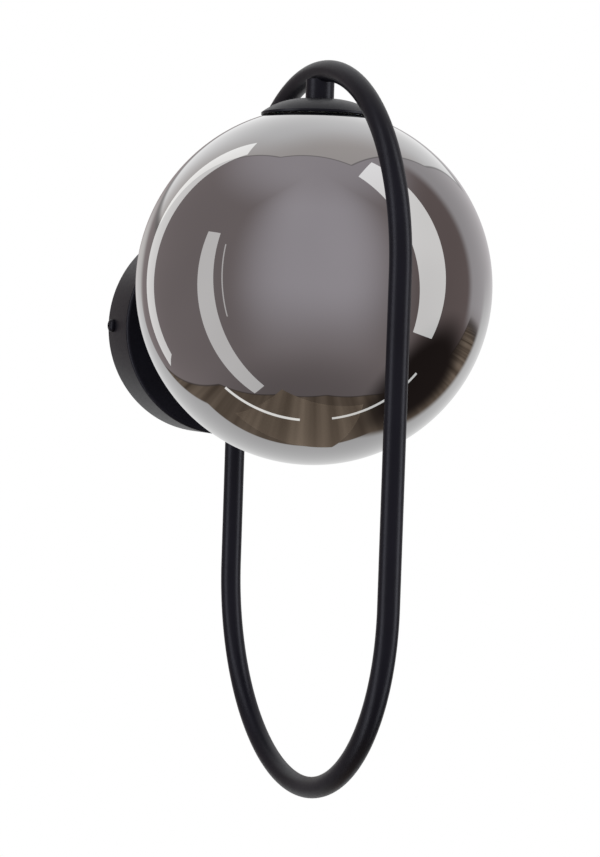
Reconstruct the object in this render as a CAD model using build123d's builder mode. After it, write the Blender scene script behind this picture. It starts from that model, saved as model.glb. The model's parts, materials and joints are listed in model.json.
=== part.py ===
from build123d import *
import math
import os

# Globe wall sconce, in millimetres. The wall is the plane y = 0, the room is at -Y and up is +Z.
# The origin is the centre of the wall plate's back. The tube loop stands in the plane x = 0.

os.makedirs("parts", exist_ok=True)

# ---------------------------------------------------------------- driving dimensions
# Fits and gaps
thread_clearance = 0.05      # radial, between a plain-modelled thread and its hole
joint_clearance = 0.05       # between a cut or bonded surface and what it seats on
seat_gap = 0.3               # between pieces that rest on each other but move apart
screw_hole_clearance = 0.25  # radial, where a screw passes freely
screw_slot_width = 0.8       # of the slotted heads
edge_break = 0.4             # chamfer on turned and pressed edges

# Wall plate, a drawn steel cup
plate_diameter = 130.0
plate_depth = 36.0
plate_wall = 1.2
plate_edge_radius = 2.0

# Loop of round tube
tube_diameter = 12.0
tube_wall = 1.2
loop_side_gap = 8.0          # between the globe and each leg
loop_straight = 174.0        # length of the straight legs
loop_drop = 56.0             # loop centre below the plate centre

# Necks that join the loop to the plate and to the globe cap
neck_diameter = 16.0
rear_neck_length = 14.0
top_neck_length = 9.5
neck_saddle = 1.5            # how far a neck laps up the side of the tube

# Threaded nipples, thin nuts and toothed washers
nipple_diameter = 10.0
nipple_bore = 7.0
wire_passage = 8.0           # hole in the tube's wall, where the leads turn into a neck
nipple_grip = 7.0            # length held inside a neck
nipple_stand_out = 3.0       # length past the nut inside the plate
nut_across_flats = 14.0
nut_thickness = 3.0
tooth_washer_diameter = 17.0
tooth_washer_thickness = 0.8
tooth_count = 10
tooth_gap = 1.6
tooth_depth = 1.6
nut_corner_cut = 0.4
reinforcement_diameter = 48.0
reinforcement_thickness = 2.0

# Bush that lines the nipple inside the plate
bush_wall = 0.6
bush_sleeve = 5.0
bush_flange_diameter = 12.0
bush_flange_thickness = 1.0
bush_flange_round = 0.4

# Wall bracket
bracket_thickness = 1.5
bracket_width = 26.0
bracket_tab_width = 14.0
bracket_tab_height = 15.0
bracket_bend_radius = 1.0
tab_corner_radius = 3.0
slot_spacing = 80.0
slot_length = 14.0
slot_width = 5.0
cable_hole_diameter = 12.0

# Screws that hold the plate to the bracket
plate_screw_diameter = 4.0
plate_screw_from_wall = 9.0
plate_screw_head_diameter = 8.0
plate_screw_head_height = 2.8
plate_screw_length = 7.0
plate_screw_head_side = 0.8  # straight side under the dome
plate_screw_socket = 2.5     # across the flats of the hexagon socket
plate_screw_socket_depth = 1.7
plate_screw_flat_margin = 0.5

# Earth terminal
earth_from_centre = 18.0
earth_screw_diameter = 4.0
earth_head_diameter = 7.5
earth_head_height = 2.4
earth_head_round = 0.8
earth_washer_diameter = 8.8
earth_washer_thickness = 0.6
earth_tooth_gap = 0.8
earth_tooth_depth = 0.8
lug_ring_diameter = 8.4
lug_thickness = 0.8
lug_neck = 1.5               # strip that joins the ring to the barrel
lug_barrel_diameter = 3.6
lug_barrel_length = 6.0

# Terminal block
block_from_centre = 21.0
block_length = 18.0
block_height = 13.0
block_pitch = 8.0
block_side_wall = 4.0
block_edge_radius = 0.8
block_floor = 0.4            # under the head of the fixing screw
block_valley_width = 2.4
block_valley_depth = 2.6
pole_diameter = 4.6
pole_bore = 3.0
pole_from_bracket = 7.0
pole_recess = 0.6            # pole end inside the block's face
pole_screw_diameter = 3.0
pole_screw_spacing = 9.0
pole_screw_recess = 1.2
pole_screw_slot_depth = 1.0
block_screw_diameter = 2.5
block_screw_head_diameter = 4.4
block_screw_head_height = 1.6

# Wiring inside the tube
lead_diameter = 2.0
lead_spacing = 2.6
lead_bend = 5.0
lead_pole_depth = 4.5        # how far a lead reaches into its pole
lead_run_out = 4.0           # straight length outside the pole
lead_gather = 11.0           # distance before the bush where the leads draw together
lead_into_holder = 5.0
bend_share = 0.45            # of the shorter run, taken up by a bend

# Globe of blown glass
globe_diameter = 200.0
globe_wall = 2.5
globe_opening = 35.0
globe_lip_radius = 1.0

# Cap over the globe
cap_diameter = 65.0
cap_height = 9.6
cap_rim = 1.5
cap_wall = 1.2
cap_edge_round = 0.35
cap_flat_margin = 1.0        # flat seat round the neck

# Screw joint of the globe: threaded carrier under the cap, collar bonded into the glass
carrier_diameter = 30.0
carrier_wall = 2.0
carrier_plate = 3.0
carrier_skirt = 5.0
carrier_lead_in = 0.5        # chamfer where the thread starts
collar_length = 7.0
collar_flange_thickness = 0.9
bond_thickness = 0.5
gasket_width = 4.5
gasket_inset = 2.3           # from the cap's inner wall
gasket_flange_gap = 2.0      # from the edge of the collar's flange
gasket_thickness = 1.3

# Lampholder with two pins at the standard 9 mm pitch
pin_pitch = 9.0
holder_diameter = 24.0
holder_height = 15.0
holder_edge_radius = 1.0
holder_screw_pitch = 17.0
holder_screw_diameter = 3.0
holder_screw_head_diameter = 5.5
holder_screw_head_height = 2.0
holder_counterbore_depth = 4.0
wire_pocket_length = 14.0
wire_pocket_width = 7.0
wire_pocket_depth = 8.0
wire_pocket_radius = 1.5
holder_mouth_length = 16.0
holder_mouth_width = 9.0
holder_mouth_depth = 4.0
pin_hole_diameter = 3.6
contact_width = 3.0
contact_thickness = 0.4
contact_below_top = 1.0

# Lamp
lamp_base_diameter = 17.0
lamp_base_length = 9.0
lamp_shoulder_radius = 2.0
lamp_tongue_clearance = 0.5
lamp_cover_length = 34.0
lamp_cover_wall = 1.0
lamp_cover_flat = 0.9        # radius left flat at the rounded end
lamp_core_diameter = 7.0
lamp_core_length = 25.0
emitter_width = 2.0
emitter_rows = 5
emitter_thickness = 0.5
pin_wire = 0.8
pin_loop_width = 2.4
pin_length = 8.0
pin_root_depth = 2.0         # pin held in the lamp's base

# ---------------------------------------------------------------- worked out from these
plate_radius = plate_diameter / 2
plate_inside = plate_depth - plate_wall
tube_radius = tube_diameter / 2
neck_radius = neck_diameter / 2
lead_radius = lead_diameter / 2

globe_radius = globe_diameter / 2
loop_radius = globe_radius + loop_side_gap + tube_radius
leg_y = -(plate_depth + rear_neck_length + tube_radius)
globe_y = leg_y - loop_radius
front_leg_y = globe_y - loop_radius
arch_z = loop_straight / 2 - loop_drop
foot_z = -loop_straight / 2 - loop_drop
loop_top = arch_z + loop_radius


def sphere_point(radius, from_axis):
    """Point on a sphere round the globe centre, as (distance from the axis, height)."""
    return (from_axis, math.sqrt(radius**2 - from_axis**2))


def arc_on_sphere(radius, start, end):
    """Arc between two distances from the axis, on a sphere round the globe centre."""
    middle = (start + end) / 2
    ends = [sphere_point(radius, place) for place in (start, middle, end)]
    return ThreePointArc(*ends)


# Heights above the globe centre
cap_radius = cap_diameter / 2
cap_flat_radius = neck_radius + cap_flat_margin
cap_base = sphere_point(globe_radius, cap_radius - cap_wall)[1] + seat_gap
cap_top = cap_base + cap_height
cap_inside = cap_top - cap_wall
top_washer_base = cap_inside - tooth_washer_thickness
top_nut_base = top_washer_base - nut_thickness
carrier_base = top_nut_base - carrier_plate
holder_base = carrier_base - holder_height
globe_z = loop_top - tube_radius - top_neck_length - cap_top

# Depths from the wall, into the room
reinforcement_back = plate_inside - reinforcement_thickness
rear_washer_back = reinforcement_back - tooth_washer_thickness
rear_nut_back = rear_washer_back - nut_thickness
rear_nipple_back = rear_nut_back - nipple_stand_out
bush_back = rear_nipple_back - bush_flange_thickness
pole_depth = bracket_thickness + pole_from_bracket
tab_face = math.sqrt((plate_radius - plate_wall) ** 2 - (bracket_tab_width / 2) ** 2) - seat_gap

# Planes and axes that the pieces share
globe_axis = Axis((0, globe_y, 0), (0, 0, 1))
arch_axis = Axis((0, globe_y, arch_z), (1, 0, 0))
foot_axis = Axis((0, globe_y, foot_z), (1, 0, 0))
globe_centre = Plane(origin=(0, globe_y, globe_z), x_dir=(1, 0, 0), z_dir=(0, 0, 1))
globe_section = Plane(origin=(0, globe_y, globe_z), x_dir=(1, 0, 0), z_dir=(0, -1, 0))


def wall_plane(depth):
    """Plane parallel to the wall, with X and Z as its axes and its normal into the room."""
    return Plane.XZ.offset(depth)


def finish(piece, name):
    """Label a piece and write it."""
    piece.part.label = name
    export_step(piece.part, f"parts/{name}.step")


# ---------------------------------------------------------------- wall bracket
with BuildPart() as wall_bracket:
    with BuildSketch(wall_plane(0)):
        RectangleRounded(2 * tab_face, bracket_width, (bracket_width - bracket_tab_width) / 2)
        with Locations((-slot_spacing / 2, 0), (slot_spacing / 2, 0)):
            SlotOverall(slot_length, slot_width, mode=Mode.SUBTRACT)
        Circle(cable_hole_diameter / 2, mode=Mode.SUBTRACT)
        with Locations((-earth_from_centre, 0)):
            Circle(earth_screw_diameter / 2 + thread_clearance, mode=Mode.SUBTRACT)
        with Locations((block_from_centre, block_pitch / 2)):
            Circle(block_screw_diameter / 2 + thread_clearance, mode=Mode.SUBTRACT)
    extrude(amount=bracket_thickness)
    for side in (-1, 1):
        tab_middle = side * (tab_face - bracket_thickness / 2)
        with BuildSketch(wall_plane(0)):
            with Locations((tab_middle, 0)):
                Rectangle(bracket_thickness, bracket_tab_width)
        extrude(amount=bracket_tab_height)
    inner_bends = wall_bracket.edges().filter_by(Axis.Z).group_by(Axis.Y)[1]
    fillet(inner_bends, bracket_bend_radius)
    tab_corners = wall_bracket.edges().filter_by(Axis.X).group_by(Axis.Y)[0]
    fillet(tab_corners, tab_corner_radius)
    with Locations(Location((0, -plate_screw_from_wall, 0), (0, 90, 0))):
        Hole(plate_screw_diameter / 2 + thread_clearance)
finish(wall_bracket, "wall_bracket")

# ---------------------------------------------------------------- earth terminal
earth_stack = bracket_thickness + earth_washer_thickness
with BuildPart() as earth_washer:
    with BuildSketch(wall_plane(bracket_thickness)):
        with Locations((-earth_from_centre, 0)):
            Circle(earth_washer_diameter / 2)
            Circle(earth_screw_diameter / 2 + screw_hole_clearance, mode=Mode.SUBTRACT)
            with PolarLocations(earth_washer_diameter / 2, tooth_count):
                Rectangle(2 * earth_tooth_depth, earth_tooth_gap, mode=Mode.SUBTRACT)
    extrude(amount=earth_washer_thickness)
finish(earth_washer, "earth_washer")

barrel_start = -earth_from_centre + lug_ring_diameter / 2 + joint_clearance
barrel_depth = earth_stack + lug_barrel_diameter / 2
with BuildPart() as earth_lug:
    with BuildSketch(wall_plane(earth_stack)):
        with Locations((-earth_from_centre, 0)):
            Circle(lug_ring_diameter / 2)
        with Locations((barrel_start, 0)):
            Rectangle(2 * lug_neck, lug_barrel_diameter)
        with Locations((-earth_from_centre, 0)):
            Circle(earth_screw_diameter / 2 + screw_hole_clearance, mode=Mode.SUBTRACT)
    extrude(amount=lug_thickness)
    with BuildSketch(Plane(origin=(barrel_start, -barrel_depth, 0), x_dir=(0, 0, 1), z_dir=(1, 0, 0))):
        Circle(lug_barrel_diameter / 2)
        Circle(lead_radius + joint_clearance, mode=Mode.SUBTRACT)
    extrude(amount=lug_barrel_length)
finish(earth_lug, "earth_lug")

with BuildPart() as earth_screw:
    with BuildSketch(wall_plane(seat_gap)):
        with Locations((-earth_from_centre, 0)):
            Circle(earth_screw_diameter / 2)
    extrude(amount=earth_stack + lug_thickness - seat_gap)
    with BuildSketch(wall_plane(earth_stack + lug_thickness)):
        with Locations((-earth_from_centre, 0)):
            Circle(earth_head_diameter / 2)
    extrude(amount=earth_head_height)
    head_rim = earth_screw.edges().group_by(Axis.Y)[0]
    fillet(head_rim, earth_head_round)
    with BuildSketch(wall_plane(earth_stack + lug_thickness + earth_head_height)):
        with Locations((-earth_from_centre, 0)):
            Rectangle(earth_head_diameter, screw_slot_width)
    extrude(amount=-earth_head_height / 2, mode=Mode.SUBTRACT)
finish(earth_screw, "earth_screw")

# ---------------------------------------------------------------- terminal block
block_width = 2 * block_pitch + 2 * block_side_wall
pole_screw_places = [
    (block_from_centre + end * pole_screw_spacing / 2, row * block_pitch)
    for row in (-1, 0, 1)
    for end in (-1, 1)
]
block_front = bracket_thickness + block_height
block_screw_seat = pole_depth + pole_diameter / 2 + block_floor
with BuildPart() as terminal_housing:
    with BuildSketch(wall_plane(bracket_thickness)):
        with Locations((block_from_centre, 0)):
            RectangleRounded(block_length, block_width, block_edge_radius)
    extrude(amount=block_height)
    with BuildSketch(Plane.YZ.offset(block_from_centre)):
        with Locations(*[(-pole_depth, row * block_pitch) for row in (-1, 0, 1)]):
            Circle(pole_diameter / 2 + joint_clearance)
    extrude(amount=block_length / 2, both=True, mode=Mode.SUBTRACT)
    with BuildSketch(wall_plane(block_front)):
        with Locations(*pole_screw_places):
            Circle(pole_screw_diameter / 2 + screw_hole_clearance)
    extrude(amount=pole_depth - block_front, mode=Mode.SUBTRACT)
    with BuildSketch(wall_plane(block_front)):
        with Locations((block_from_centre, block_pitch / 2)):
            Circle(block_screw_diameter / 2 + joint_clearance)
    extrude(amount=-block_height, mode=Mode.SUBTRACT)
    with BuildSketch(wall_plane(block_front)):
        with Locations((block_from_centre, block_pitch / 2)):
            Circle(block_screw_head_diameter / 2 + screw_hole_clearance)
    extrude(amount=block_screw_seat - block_front, mode=Mode.SUBTRACT)
    # The valleys between the poles, where the strip can be cut apart
    with BuildSketch(wall_plane(block_front)):
        with Locations((block_from_centre, -block_pitch / 2), (block_from_centre, block_pitch / 2)):
            Rectangle(block_length, block_valley_width)
    extrude(amount=-block_valley_depth, mode=Mode.SUBTRACT)
finish(terminal_housing, "terminal_housing")

with BuildPart() as terminal_poles:
    with BuildSketch(Plane.YZ.offset(block_from_centre)):
        with Locations(*[(-pole_depth, row * block_pitch) for row in (-1, 0, 1)]):
            Circle(pole_diameter / 2)
            Circle(pole_bore / 2, mode=Mode.SUBTRACT)
    extrude(amount=block_length / 2 - pole_recess, both=True)
    with BuildSketch(wall_plane(block_front)):
        with Locations(*pole_screw_places):
            Circle(pole_screw_diameter / 2 + thread_clearance)
    extrude(amount=pole_depth - block_front, mode=Mode.SUBTRACT)
finish(terminal_poles, "terminal_poles")

pole_screw_top = block_front - pole_screw_recess
pole_screw_end = pole_depth + lead_radius + joint_clearance
with BuildPart() as terminal_screws:
    with BuildSketch(wall_plane(pole_screw_end)):
        with Locations(*pole_screw_places):
            Circle(pole_screw_diameter / 2)
    extrude(amount=pole_screw_top - pole_screw_end)
    with BuildSketch(wall_plane(pole_screw_top)):
        with Locations(*pole_screw_places):
            Rectangle(pole_screw_diameter, screw_slot_width)
    extrude(amount=-pole_screw_slot_depth, mode=Mode.SUBTRACT)
finish(terminal_screws, "terminal_screws")

with BuildPart() as block_screw:
    with BuildSketch(wall_plane(seat_gap)):
        with Locations((block_from_centre, block_pitch / 2)):
            Circle(block_screw_diameter / 2)
    extrude(amount=block_screw_seat - seat_gap)
    with BuildSketch(wall_plane(block_screw_seat)):
        with Locations((block_from_centre, block_pitch / 2)):
            Circle(block_screw_head_diameter / 2)
    extrude(amount=block_screw_head_height)
    with BuildSketch(wall_plane(block_screw_seat + block_screw_head_height)):
        with Locations((block_from_centre, block_pitch / 2)):
            Rectangle(block_screw_head_diameter, screw_slot_width)
    extrude(amount=-block_screw_head_height / 2, mode=Mode.SUBTRACT)
finish(block_screw, "block_screw")

# ---------------------------------------------------------------- wall plate
with BuildPart() as wall_plate:
    with BuildSketch(wall_plane(0)):
        Circle(plate_radius)
    extrude(amount=plate_depth)
    front_rim = wall_plate.edges().group_by(Axis.Y)[0]
    fillet(front_rim, plate_edge_radius)
    back_face = wall_plate.faces().sort_by(Axis.Y)[-1]
    offset(amount=-plate_wall, openings=back_face)
    with BuildSketch(wall_plane(plate_depth)):
        Circle(nipple_diameter / 2 + screw_hole_clearance)
    extrude(amount=-2 * plate_wall, mode=Mode.SUBTRACT)
    with Locations(Location((0, -plate_screw_from_wall, 0), (0, 90, 0))):
        Hole(plate_screw_diameter / 2 + screw_hole_clearance)
finish(wall_plate, "wall_plate")

# ---------------------------------------------------------------- screws through the plate's rim
with BuildPart() as plate_screws:
    for side in (-1, 1):
        outward = Plane(
            origin=(side * plate_radius, -plate_screw_from_wall, 0), x_dir=(0, 1, 0), z_dir=(side, 0, 0)
        )
        with BuildSketch(outward):
            Circle(plate_screw_diameter / 2)
        extrude(amount=-plate_screw_length)
        # Half section of the domed head, turned round the screw's axis
        head_edge = plate_screw_head_diameter / 2
        head_side = -side * plate_screw_head_side
        head_flat = plate_screw_socket / 2 + plate_screw_flat_margin
        head_top = -side * plate_screw_head_height
        with BuildSketch(Plane(origin=outward.origin, x_dir=(0, 1, 0), z_dir=(0, 0, 1))):
            with BuildLine():
                Line((0, 0), (head_edge, 0))
                Line((head_edge, 0), (head_edge, head_side))
                TangentArc((head_edge, head_side), (head_flat, head_top), tangent=(0, -side))
                Line((head_flat, head_top), (0, head_top))
                Line((0, head_top), (0, 0))
            make_face()
        revolve(axis=Axis(outward.origin, (1, 0, 0)))
        with BuildSketch(outward.offset(plate_screw_head_height)):
            RegularPolygon(plate_screw_socket / 2, 6, major_radius=False)
        extrude(amount=-plate_screw_socket_depth, mode=Mode.SUBTRACT)
finish(plate_screws, "plate_screws")

# ---------------------------------------------------------------- clamping stack inside the plate
with BuildPart() as reinforcement:
    with BuildSketch(wall_plane(reinforcement_back)):
        Circle(reinforcement_diameter / 2)
        Circle(nipple_diameter / 2 + screw_hole_clearance, mode=Mode.SUBTRACT)
    extrude(amount=reinforcement_thickness)
    chamfer(reinforcement.edges().group_by(Axis.Y)[-1], edge_break)
finish(reinforcement, "reinforcement")


def toothed_washer(plane):
    """Toothed lock washer that lies on a plane."""
    with BuildPart() as washer:
        with BuildSketch(plane):
            Circle(tooth_washer_diameter / 2)
            Circle(nipple_diameter / 2 + screw_hole_clearance, mode=Mode.SUBTRACT)
            with PolarLocations(tooth_washer_diameter / 2, tooth_count):
                Rectangle(2 * tooth_depth, tooth_gap, mode=Mode.SUBTRACT)
        extrude(amount=tooth_washer_thickness)
    return washer


def thin_nut(plane):
    """Thin hexagon nut that lies on a plane, with its corners turned off."""
    corner_radius = nut_across_flats / math.sqrt(3)
    with BuildPart() as nut:
        with BuildSketch(plane):
            RegularPolygon(nut_across_flats / 2, 6, major_radius=False)
        extrude(amount=nut_thickness)
        with BuildSketch(plane):
            Circle(corner_radius - nut_corner_cut)
        extrude(amount=nut_thickness, mode=Mode.INTERSECT)
        with BuildSketch(plane):
            Circle(nipple_diameter / 2 + thread_clearance)
        extrude(amount=nut_thickness, mode=Mode.SUBTRACT)
    return nut


rear_washer = toothed_washer(wall_plane(rear_washer_back))
finish(rear_washer, "rear_washer")

rear_nut = thin_nut(wall_plane(rear_nut_back))
finish(rear_nut, "rear_nut")

with BuildPart() as rear_nipple:
    with BuildSketch(wall_plane(rear_nipple_back)):
        Circle(nipple_diameter / 2)
        Circle(nipple_bore / 2, mode=Mode.SUBTRACT)
    extrude(amount=plate_depth + nipple_grip - rear_nipple_back)
    chamfer(rear_nipple.edges(), edge_break)
finish(rear_nipple, "rear_nipple")

bush_outer = nipple_bore / 2 - joint_clearance
with BuildPart() as wire_bush:
    with BuildSketch(wall_plane(bush_back)):
        Circle(bush_flange_diameter / 2)
    extrude(amount=bush_flange_thickness)
    fillet(wire_bush.edges().group_by(Axis.Y)[-1], bush_flange_round)
    with BuildSketch(wall_plane(rear_nipple_back)):
        Circle(bush_outer)
    extrude(amount=bush_sleeve)
    with BuildSketch(wall_plane(bush_back)):
        Circle(bush_outer - bush_wall)
    extrude(amount=bush_flange_thickness + bush_sleeve, mode=Mode.SUBTRACT)
finish(wire_bush, "wire_bush")

# ---------------------------------------------------------------- loop of tube
with BuildPart() as loop_tube:
    # The two legs
    with BuildSketch(Plane.XY.offset(foot_z)):
        with Locations((0, leg_y), (0, front_leg_y)):
            Circle(tube_radius)
            Circle(tube_radius - tube_wall, mode=Mode.SUBTRACT)
    extrude(amount=loop_straight)
    # The half-round arch over the globe and the half-round foot
    with BuildSketch(Plane.XY.offset(arch_z)):
        with Locations((0, leg_y)):
            Circle(tube_radius)
            Circle(tube_radius - tube_wall, mode=Mode.SUBTRACT)
    revolve(axis=arch_axis, revolution_arc=180)
    with BuildSketch(Plane.XY.offset(foot_z)):
        with Locations((0, leg_y)):
            Circle(tube_radius)
            Circle(tube_radius - tube_wall, mode=Mode.SUBTRACT)
    revolve(axis=foot_axis, revolution_arc=-180)
    # Wire holes into the rear neck and the top neck
    with BuildSketch(wall_plane(-leg_y)):
        Circle(wire_passage / 2)
    extrude(amount=-tube_diameter, mode=Mode.SUBTRACT)
    with BuildSketch(Plane.XY.offset(loop_top)):
        with Locations((0, globe_y)):
            Circle(wire_passage / 2)
    extrude(amount=-tube_diameter, mode=Mode.SUBTRACT)
finish(loop_tube, "loop_tube")

# ---------------------------------------------------------------- necks, coped to the tube
with BuildPart() as rear_neck:
    with BuildSketch(wall_plane(plate_depth)):
        Circle(neck_radius)
        Circle(nipple_diameter / 2 + thread_clearance, mode=Mode.SUBTRACT)
    extrude(amount=rear_neck_length + neck_saddle)
    with BuildSketch(Plane.XY.offset(-neck_diameter)):
        with Locations((0, leg_y)):
            Circle(tube_radius + joint_clearance)
    extrude(amount=2 * neck_diameter, mode=Mode.SUBTRACT)
finish(rear_neck, "rear_neck")

with BuildPart() as top_neck:
    with BuildSketch(globe_centre.offset(cap_top)):
        Circle(neck_radius)
        Circle(nipple_diameter / 2 + thread_clearance, mode=Mode.SUBTRACT)
    extrude(amount=top_neck_length + neck_saddle)
    with BuildSketch(Plane.XY.offset(arch_z)):
        with Locations((0, leg_y)):
            Circle(tube_radius + joint_clearance)
    revolve(axis=arch_axis, revolution_arc=180, mode=Mode.SUBTRACT)
finish(top_neck, "top_neck")

with BuildPart() as top_nipple:
    with BuildSketch(globe_centre.offset(carrier_base)):
        Circle(nipple_diameter / 2)
        Circle(nipple_bore / 2, mode=Mode.SUBTRACT)
    extrude(amount=cap_top + nipple_grip - carrier_base)
    chamfer(top_nipple.edges().group_by(Axis.Z)[-1], edge_break)
finish(top_nipple, "top_nipple")

# ---------------------------------------------------------------- cap over the globe
cap_hole = nipple_diameter / 2 + screw_hole_clearance
cap_shoulder = cap_base + cap_rim
inner_edge = cap_radius - cap_wall
inner_shoulder = cap_shoulder - cap_wall / 2
with BuildPart() as globe_cap:
    with BuildSketch(globe_section):
        with BuildLine():
            Line((cap_hole, cap_inside), (cap_hole, cap_top))
            Line((cap_hole, cap_top), (cap_flat_radius, cap_top))
            TangentArc((cap_flat_radius, cap_top), (cap_radius, cap_shoulder), tangent=(1, 0))
            Line((cap_radius, cap_shoulder), (cap_radius, cap_base))
            Line((cap_radius, cap_base), (inner_edge, cap_base))
            Line((inner_edge, cap_base), (inner_edge, inner_shoulder))
            TangentArc((cap_flat_radius, cap_inside), (inner_edge, inner_shoulder), tangent=(1, 0))
            Line((cap_flat_radius, cap_inside), (cap_hole, cap_inside))
        make_face()
    revolve(axis=globe_axis)
    fillet(globe_cap.edges().group_by(Axis.Z)[0], cap_edge_round)
finish(globe_cap, "globe_cap")

top_washer = toothed_washer(globe_centre.offset(top_washer_base))
finish(top_washer, "top_washer")

top_nut = thin_nut(globe_centre.offset(top_nut_base))
finish(top_nut, "top_nut")

# ---------------------------------------------------------------- threaded carrier for the globe
holder_screw_places = [(0, -holder_screw_pitch / 2), (0, holder_screw_pitch / 2)]
carrier_radius = carrier_diameter / 2
with BuildPart() as globe_carrier:
    with BuildSketch(globe_centre.offset(top_nut_base)):
        Circle(carrier_radius)
    extrude(amount=-(carrier_plate + carrier_skirt))
    with BuildSketch(globe_centre.offset(carrier_base)):
        Circle(carrier_radius - carrier_wall)
    extrude(amount=-carrier_skirt, mode=Mode.SUBTRACT)
    with BuildSketch(globe_centre.offset(top_nut_base)):
        Circle(nipple_diameter / 2 + thread_clearance)
        with Locations(*holder_screw_places):
            Circle(holder_screw_diameter / 2 + thread_clearance)
    extrude(amount=-carrier_plate, mode=Mode.SUBTRACT)
    chamfer(globe_carrier.edges().group_by(Axis.Z)[0].sort_by(SortBy.RADIUS)[-1], carrier_lead_in)
finish(globe_carrier, "globe_carrier")

# ---------------------------------------------------------------- lampholder
half_pin = pin_pitch / 2
with BuildPart() as lampholder_body:
    with BuildSketch(globe_centre.offset(holder_base)):
        Circle(holder_diameter / 2)
    extrude(amount=holder_height)
    fillet(lampholder_body.edges().group_by(Axis.Z)[0], holder_edge_radius)
    with BuildSketch(globe_centre.offset(carrier_base)):
        RectangleRounded(wire_pocket_length, wire_pocket_width, wire_pocket_radius)
    extrude(amount=-wire_pocket_depth, mode=Mode.SUBTRACT)
    with BuildSketch(globe_centre.offset(holder_base)):
        SlotOverall(holder_mouth_length, holder_mouth_width)
    extrude(amount=holder_mouth_depth, mode=Mode.SUBTRACT)
    with BuildSketch(globe_centre.offset(holder_base)):
        with Locations((-half_pin, 0), (half_pin, 0)):
            Circle(pin_hole_diameter / 2)
    extrude(amount=holder_height, mode=Mode.SUBTRACT)
    with BuildSketch(globe_centre.offset(holder_base)):
        with Locations(*holder_screw_places):
            Circle(holder_screw_diameter / 2 + screw_hole_clearance)
    extrude(amount=holder_height, mode=Mode.SUBTRACT)
    with BuildSketch(globe_centre.offset(holder_base)):
        with Locations(*holder_screw_places):
            Circle(holder_screw_head_diameter / 2 + screw_hole_clearance)
    extrude(amount=holder_counterbore_depth, mode=Mode.SUBTRACT)
finish(lampholder_body, "lampholder_body")

holder_screw_seat = holder_base + holder_counterbore_depth
with BuildPart() as lampholder_screws:
    with BuildSketch(globe_centre.offset(holder_screw_seat)):
        with Locations(*holder_screw_places):
            Circle(holder_screw_diameter / 2)
    extrude(amount=top_nut_base - seat_gap - holder_screw_seat)
    with BuildSketch(globe_centre.offset(holder_screw_seat)):
        with Locations(*holder_screw_places):
            Circle(holder_screw_head_diameter / 2)
    extrude(amount=-holder_screw_head_height)
    with BuildSketch(globe_centre.offset(holder_screw_seat - holder_screw_head_height)):
        with Locations(*holder_screw_places):
            Rectangle(holder_screw_head_diameter, screw_slot_width)
    extrude(amount=holder_screw_head_height / 2, mode=Mode.SUBTRACT)
finish(lampholder_screws, "lampholder_screws")

# A folded spring strip for each pin: two leaves that grip it and a bridge that takes the lead
leaf_inside = pin_wire / 2 + joint_clearance
leaf_outside = leaf_inside + contact_thickness
contact_top = carrier_base - contact_below_top
contact_base = carrier_base - wire_pocket_depth
bridge_inner = lead_spacing / 2 + lead_radius + joint_clearance
with BuildPart() as lampholder_contacts:
    for side in (-1, 1):
        with BuildSketch(globe_centre.offset(contact_base)):
            for leaf in (-1, 1):
                with Locations((side * half_pin, leaf * (leaf_inside + leaf_outside) / 2)):
                    Rectangle(contact_width, contact_thickness)
        extrude(amount=contact_top - contact_base)
        bridge_outer = half_pin + contact_width / 2
        with BuildSketch(globe_centre.offset(contact_top)):
            with Locations((side * (bridge_inner + bridge_outer) / 2, 0)):
                Rectangle(bridge_outer - bridge_inner, 2 * leaf_outside)
        extrude(amount=-contact_thickness)
finish(lampholder_contacts, "lampholder_contacts")

# ---------------------------------------------------------------- lamp
lamp_shoulder = holder_base - seat_gap
lamp_base_bottom = lamp_shoulder - lamp_base_length
lamp_tongue_top = holder_base + holder_mouth_depth - lamp_tongue_clearance
lamp_radius = lamp_base_diameter / 2
pin_foot = lamp_tongue_top - pin_root_depth
pin_leg_offset = (pin_loop_width - pin_wire) / 2
pin_legs = [(side * half_pin + leg * pin_leg_offset, 0) for side in (-1, 1) for leg in (-1, 1)]
with BuildPart() as lamp_base:
    with BuildSketch(globe_centre.offset(lamp_base_bottom)):
        Circle(lamp_radius)
    extrude(amount=lamp_base_length)
    fillet(lamp_base.edges().group_by(Axis.Z)[-1], lamp_shoulder_radius)
    with BuildSketch(globe_centre.offset(lamp_base_bottom)):
        SlotOverall(
            holder_mouth_length - 2 * lamp_tongue_clearance, holder_mouth_width - 2 * lamp_tongue_clearance
        )
    extrude(amount=lamp_tongue_top - lamp_base_bottom)
    with BuildSketch(globe_centre.offset(lamp_tongue_top)):
        with Locations(*pin_legs):
            Circle(pin_wire / 2 + joint_clearance)
    extrude(amount=-pin_root_depth, mode=Mode.SUBTRACT)
finish(lamp_base, "lamp_base")

pin_bend_height = lamp_tongue_top + pin_length - pin_loop_width / 2
with BuildPart() as lamp_pins:
    for side in (-1, 1):
        with BuildLine(globe_section) as pin_path:
            inner_leg = side * half_pin - pin_leg_offset
            outer_leg = side * half_pin + pin_leg_offset
            Line((inner_leg, pin_foot), (inner_leg, pin_bend_height))
            ThreePointArc(
                (inner_leg, pin_bend_height),
                (side * half_pin, pin_bend_height + pin_leg_offset),
                (outer_leg, pin_bend_height),
            )
            Line((outer_leg, pin_bend_height), (outer_leg, pin_foot))
        with BuildSketch(globe_centre.offset(pin_foot)):
            with Locations((inner_leg, 0)):
                Circle(pin_wire / 2)
        sweep(path=pin_path.wire())
finish(lamp_pins, "lamp_pins")

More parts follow.
